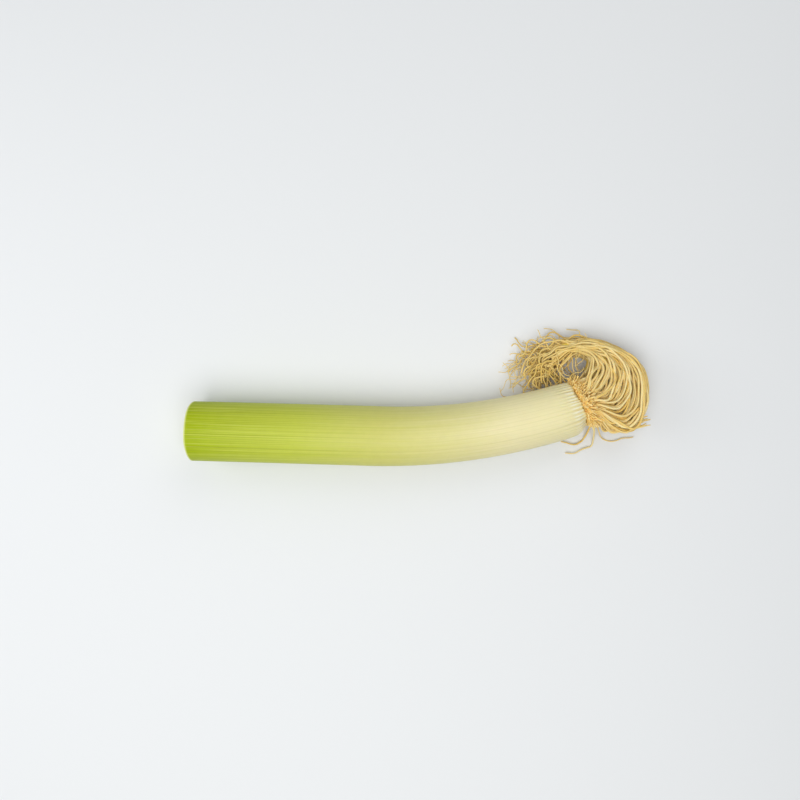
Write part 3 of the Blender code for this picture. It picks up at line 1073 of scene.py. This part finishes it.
def grow_branches(routes, radii, tints, owners, reaching, settings, rng):
    """Fine branches on the roots that reach far. Each starts on a route, nearer its tip, turns
    aside, and goes on with a heading that turns steadily and wavers, sinking a little."""
    count, points = settings.branch_count, 22
    parent = rng.choice(np.flatnonzero(reaching), count)
    at = (routes.shape[1] - 2) * rng.uniform(0.55, 1.0, count) ** 0.6
    at = at.astype(int)
    start = routes[parent, at]
    step = routes[parent, at + 1] - start
    heading = np.arctan2(step[:, 1], step[:, 0])
    aside = rng.choice((-0.7, 1.0, 1.0), count) * rng.uniform(0.3, 1.2, count)
    length = settings.branch_length * rng.uniform(0.2, 1.0, count) ** 1.3
    walked = np.linspace(0.0, 1.0, points) * length[:, None]
    bow = rng.normal(15.0, 60.0, count)[:, None] * walked
    turned = (heading + aside)[:, None] + bow + 0.8 * waves(walked, rng, (0.008, 0.015), count)
    stride = (length / (points - 1))[:, None]
    x = start[:, :1] + np.cumsum(np.cos(turned) * stride, axis=1)
    y = start[:, 1:2] + np.cumsum(np.sin(turned) * stride, axis=1)
    z = start[:, 2:] + rng.uniform(-0.35, 0.12, count)[:, None] * walked
    z = z + 0.0008 * waves(walked, rng, (0.009, 0.017), count) * np.minimum(walked / 0.004, 1.0)
    t = np.linspace(0.0, 1.0, points)
    thick = np.minimum(radii[parent, at] * 0.8, rng.uniform(0.00024, 0.00042, count))[:, None]
    branch_radii = thick * (1 - 0.4 * t)
    branches = keep_clear(np.stack((x, y, z), axis=-1), branch_radii)
    branch_tints = np.clip(tints[parent] + rng.normal(0.1, 0.12, count), 0.0, 0.95)
    return branches, branch_radii, branch_tints, owners[parent]


def make_roots(settings):
    """All the roots of the heap, as routes, radii, tints and owners, then which of them reach far, and
    the random numbers' source. A root's owner is the lane of solids that it belongs to."""
    rng = np.random.default_rng(11)
    across, deep = np.meshgrid(
        (np.arange(settings.strands_across) + 0.5) / settings.strands_across,
        (np.arange(settings.strands_deep) + 0.5) / settings.strands_deep,
    )
    count = across.size
    across = np.clip(across.ravel() + rng.normal(0.0, 0.035, count), 0.0, 1.0)
    deep = np.clip(deep.ravel() + rng.normal(0.0, 0.06, count), 0.0, 1.0)
    share = 1.0 - 0.56 * rng.beta(1.4, 1.0, count)
    points = 84
    routes = heap_routes(across, deep, share, points, rng)
    t = np.linspace(0.0, 1.0, points)
    frizz = smooth_step(t * share[:, None], 0.50, 0.82)
    amount = 0.20 + rng.uniform(0.6, 1.8, count)[:, None] * frizz
    amount = amount * smooth_step(t, 0.02, 0.15)
    bow = np.maximum(rng.normal(0.45 + 0.45 * across, 0.55, count), -0.15)[:, None]
    bow = bow * smooth_step(t * share[:, None], 0.42, 1.0)
    routes = curl(routes, amount, bow, rng, (0.013, 0.023, 0.041))
    rise = (0.0006 + 0.0010 * frizz) * smooth_step(t, 0.04, 0.2)
    routes[..., 2] += rise * waves(t * 0.1, rng, (0.021, 0.035), count)
    thick = settings.strand_radius * rng.uniform(0.78, 1.12, count)[:, None]
    thin = settings.tip_radius * rng.uniform(0.7, 1.2, count)[:, None]
    radii = thick + (thin - thick) * smooth_step(t * share[:, None], 0.40, 0.95)
    radii = radii * (1 + 0.07 * waves(t * 0.1, rng, (0.0043, 0.0071), count))
    routes = keep_clear(routes, radii)
    tints = rng.beta(1.6, 2.6, count) * 0.9
    tints[rng.choice(count, 2, replace=False)] = 1.0
    owners = np.minimum((across * ROOT_LANES).astype(int), ROOT_LANES - 1)
    return routes, radii, tints, owners, share > LONG_ROOT, rng


def build_roots(settings, finish):
    """The heap of roots, one piece for each lane of solids."""
    routes, radii, tints, owners, reaching, rng = make_roots(settings)
    branches = grow_branches(routes, radii, tints, owners, reaching, settings, rng)
    twig_routes, twig_radii, twig_tints, twig_owners = branches
    root_share = np.broadcast_to(np.linspace(0.0, 1.0, routes.shape[1]), radii.shape)
    twig_share = np.broadcast_to(TWIG_SHARE, twig_radii.shape)
    for lane in range(ROOT_LANES):
        mine, twigs = owners == lane, twig_owners == lane
        root_vertices, root_faces = tubes(routes[mine], radii[mine], ROOT_SIDES)
        twig_vertices, twig_faces = tubes(twig_routes[twigs], twig_radii[twigs], TWIG_SIDES)
        first = len(root_vertices)
        stored = zip(
            strand_attributes(root_share[mine], tints[mine], ROOT_SIDES),
            strand_attributes(twig_share[twigs], twig_tints[twigs], TWIG_SIDES),
        )
        add_piece(
            f"roots_lane_{lane + 1}",
            np.concatenate((root_vertices, twig_vertices)),
            [*root_faces, *[first + f for f in twig_faces]],
            finish,
            [f"root_{layer * ROOT_LANES + lane + 1:02d}" for layer in range(ROOT_LAYERS)],
            [(key, np.concatenate((of_roots, of_twigs))) for (key, of_roots), (_, of_twigs) in stored],
        )


def build_stray_roots(settings, finish):
    """Roots that stray from the heap along the ground, and a short fan of roots beside them that
    ends at the outside of the bend."""
    rng = np.random.default_rng(23)
    edge = plate_radius() - 0.001
    routes = []
    for clock, ground in STRAY_TRACKS:
        left, up = -edge * math.sin(clock), edge * math.cos(clock)
        start = dome_point(np.array([left]), np.array([up]), np.array([-0.0003]))
        lifted = dome_point(np.array([left]), np.array([up]), np.array([0.003]))
        low = [(*(FOOT[:2] + point), 0.0012) for point in ground]
        routes.append(smooth_routes(np.concatenate((start, lifted, low))[None], 48, np.ones(1)))
    fan = settings.fan_count
    clock = rng.uniform(math.radians(35), math.radians(165), fan)
    reach = ROOTED_RADIUS * rng.uniform(0.6, 1.0, fan)
    left, up = -reach * np.sin(clock), reach * np.cos(clock)
    start = dome_point(left, up, np.full(fan, -0.0004))
    lifted = dome_point(left, up, np.full(fan, 0.004))
    far = rng.uniform(0.026, 0.040, fan)
    side = np.interp(left, (-ROOTED_RADIUS, 0.0), (-0.0125, -0.0015)) + rng.uniform(-0.001, 0.001, fan)
    level = 0.002 + rng.uniform(0.55, 0.95, fan) * np.maximum(lifted[:, 2], 0.003)
    ground = [
        np.stack((FOOT[0] + share * far, FOOT[1] + side + lift * far, level), axis=-1)
        for share, lift in ((0.6, -0.02), (0.8, 0.0), (1.0, 0.06))
    ]
    routes.append(smooth_routes(np.stack((start, lifted, *ground), axis=1), 48, np.ones(fan)))
    routes = np.concatenate(routes)
    count, points = routes.shape[:2]
    t = np.linspace(0.0, 1.0, points)
    amount = np.broadcast_to(0.35 * smooth_step(t, 0.1, 0.9), (count, points))
    routes = curl(routes, amount, 0.0 * amount, rng, (0.009, 0.017))
    radii = settings.strand_radius * rng.uniform(0.65, 0.95, count)[:, None] * (1 - 0.4 * t)
    routes = keep_clear(routes, radii)
    tints = rng.uniform(0.1, 0.8, count)
    vertices, faces = tubes(routes, radii, ROOT_SIDES)
    share = np.broadcast_to(0.7 * t, radii.shape)
    add_piece(
        "stray_roots",
        vertices,
        faces,
        finish,
        [f"stray_root_{number}" for number in range(1, len(STRAY_TRACKS) + 1)],
        strand_attributes(share, tints, ROOT_SIDES),
    )


# ------------------------------------------------------------------------------------------------
# The studio
# ------------------------------------------------------------------------------------------------

CAMERA_HEIGHT = 0.42  # above the shaft's axis
CAMERA_SPOT = (-0.0112, -0.0015)
CAMERA_ROLL = math.radians(1.6)
FRAME_WIDTH = 0.416  # what the camera takes in at the height of the axis


def build_stage(colours):
    """A floor, three soft lamps, an even pale sky and a camera straight above."""
    reach, steps = 2.0, 9
    line = np.linspace(-reach, reach, steps)
    x, y = np.meshgrid(line, line)
    mesh = bpy.data.meshes.new("floor")
    corners = np.stack((x, y, np.zeros_like(x)), axis=-1).reshape(-1, 3)
    mesh.from_pydata(corners, [], grid_faces(steps, steps, wrap_columns=False))
    mesh.materials.append(floor_finish(colours))
    floor = bpy.data.objects.new("floor", mesh)
    bpy.context.scene.collection.objects.link(floor)
    lamps = (
        ("key_lamp", (-0.05, -0.28, 0.82), 0.90, 6.3, (1.0, 0.99, 0.96)),
        ("fill_lamp", (0.20, 0.55, 0.55), 0.60, 1.1, (1.0, 0.99, 0.97)),
        ("end_lamp", (-0.65, 0.05, 0.40), 0.50, 1.5, (1.0, 1.0, 1.0)),
    )
    for name, place, size, power, colour in lamps:
        light = bpy.data.lights.new(name, "AREA")
        light.shape = "DISK"
        light.size = size
        light.energy = power
        light.color = colour
        lamp = bpy.data.objects.new(name, light)
        lamp.location = place
        x, y, z = place
        lamp.rotation_euler = (math.atan2(math.hypot(x, y), z), 0.0, math.atan2(y, x) + math.pi / 2)
        bpy.context.scene.collection.objects.link(lamp)
    world = bpy.data.worlds.new("sky")
    world.use_nodes = True
    background = world.node_tree.nodes["Background"]
    background.inputs["Color"].default_value = (0.93, 0.96, 1.0, 1.0)
    background.inputs["Strength"].default_value = 0.24
    bpy.context.scene.world = world
    camera = bpy.data.cameras.new("camera")
    camera.lens = camera.sensor_width * CAMERA_HEIGHT / FRAME_WIDTH
    camera.clip_start = 0.01
    seat = bpy.data.objects.new("camera", camera)
    seat.location = (*CAMERA_SPOT, FOOT[2] + CAMERA_HEIGHT)
    seat.rotation_euler = (0.0, 0.0, CAMERA_ROLL)
    bpy.context.scene.collection.objects.link(seat)
    bpy.context.scene.camera = seat
    bpy.context.scene.view_settings.view_transform = "Standard"


# ------------------------------------------------------------------------------------------------
# Operators, panel and main
# ------------------------------------------------------------------------------------------------


class LEEK_OT_leaves(bpy.types.Operator):
    """Build the leaves' sheaths, one inside the next"""

    bl_idname = "leek.leaves"
    bl_label = "Leaves"

    def execute(self, context):
        settings = context.scene.leek
        colours = settings.colours
        for number in range(1, LEAF_COUNT + 1):
            depth = (number - 1) / (LEAF_COUNT - 1)
            if number == 1:
                finish = skin_finish(colours)
            else:
                finish = flesh_finish(f"leaf_{number}_flesh", colours, depth)
            build_leaf(number, settings.leaves, finish)
        return {"FINISHED"}


class LEEK_OT_heart(bpy.types.Operator):
    """Build the rolled youngest leaf"""

    bl_idname = "leek.heart"
    bl_label = "Heart leaf"

    def execute(self, context):
        settings = context.scene.leek
        colours = settings.colours
        build_heart(settings.leaves, flesh_finish("heart_flesh", colours, 1.0))
        return {"FINISHED"}


class LEEK_OT_plate(bpy.types.Operator):
    """Build the root plate and the broken roots on it"""

    bl_idname = "leek.plate"
    bl_label = "Root plate"

    def execute(self, context):
        settings = context.scene.leek
        build_plate(settings.plate, plate_finish(settings.colours))
        build_stubs(settings.plate, shared_root_finish(settings.colours))
        return {"FINISHED"}


class LEEK_OT_roots(bpy.types.Operator):
    """Build the roots of the heap and their branches"""

    bl_idname = "leek.roots"
    bl_label = "Roots"

    def execute(self, context):
        settings = context.scene.leek
        build_roots(settings.roots, shared_root_finish(settings.colours))
        return {"FINISHED"}


class LEEK_OT_stray_roots(bpy.types.Operator):
    """Build the roots that stray from the heap"""

    bl_idname = "leek.stray_roots"
    bl_label = "Stray roots"

    def execute(self, context):
        settings = context.scene.leek
        build_stray_roots(settings.roots, shared_root_finish(settings.colours))
        return {"FINISHED"}


class LEEK_OT_stage(bpy.types.Operator):
    """Build the floor, the lamps, the sky and the camera"""

    bl_idname = "leek.stage"
    bl_label = "Stage"

    def execute(self, context):
        build_stage(context.scene.leek.colours)
        return {"FINISHED"}


class LEEK_PT_panel(bpy.types.Panel):
    """Lists the leek's settings and its operators"""

    bl_idname = "LEEK_PT_panel"
    bl_label = "Trimmed Leek"
    bl_space_type = "VIEW_3D"
    bl_region_type = "UI"
    bl_category = "Leek"

    def draw(self, context):
        settings = context.scene.leek
        for group in (settings.leaves, settings.plate, settings.roots, settings.colours):
            box = self.layout.box()
            for key in group.__annotations__:
                box.prop(group, key)
        for operator in OPERATORS:
            self.layout.operator(operator.bl_idname)


OPERATORS = (
    LEEK_OT_stage,
    LEEK_OT_leaves,
    LEEK_OT_heart,
    LEEK_OT_plate,
    LEEK_OT_roots,
    LEEK_OT_stray_roots,
)
CLASSES = (
    LeekLeafSettings,
    LeekPlateSettings,
    LeekRootSettings,
    LeekColourSettings,
    LeekSettings,
    *OPERATORS,
    LEEK_PT_panel,
)


def register():
    """Registers the classes and hangs the settings on the scene."""
    for cls in CLASSES:
        bpy.utils.register_class(cls)
    bpy.types.Scene.leek = bpy.props.PointerProperty(type=LeekSettings)


def unregister():
    """Undoes register."""
    del bpy.types.Scene.leek
    for cls in reversed(CLASSES):
        bpy.utils.unregister_class(cls)


def main():
    """Builds everything."""
    register()
    bpy.ops.leek.stage()
    bpy.ops.leek.leaves()
    bpy.ops.leek.heart()
    bpy.ops.leek.plate()
    bpy.ops.leek.roots()
    bpy.ops.leek.stray_roots()


if __name__ == "__main__":
    main()
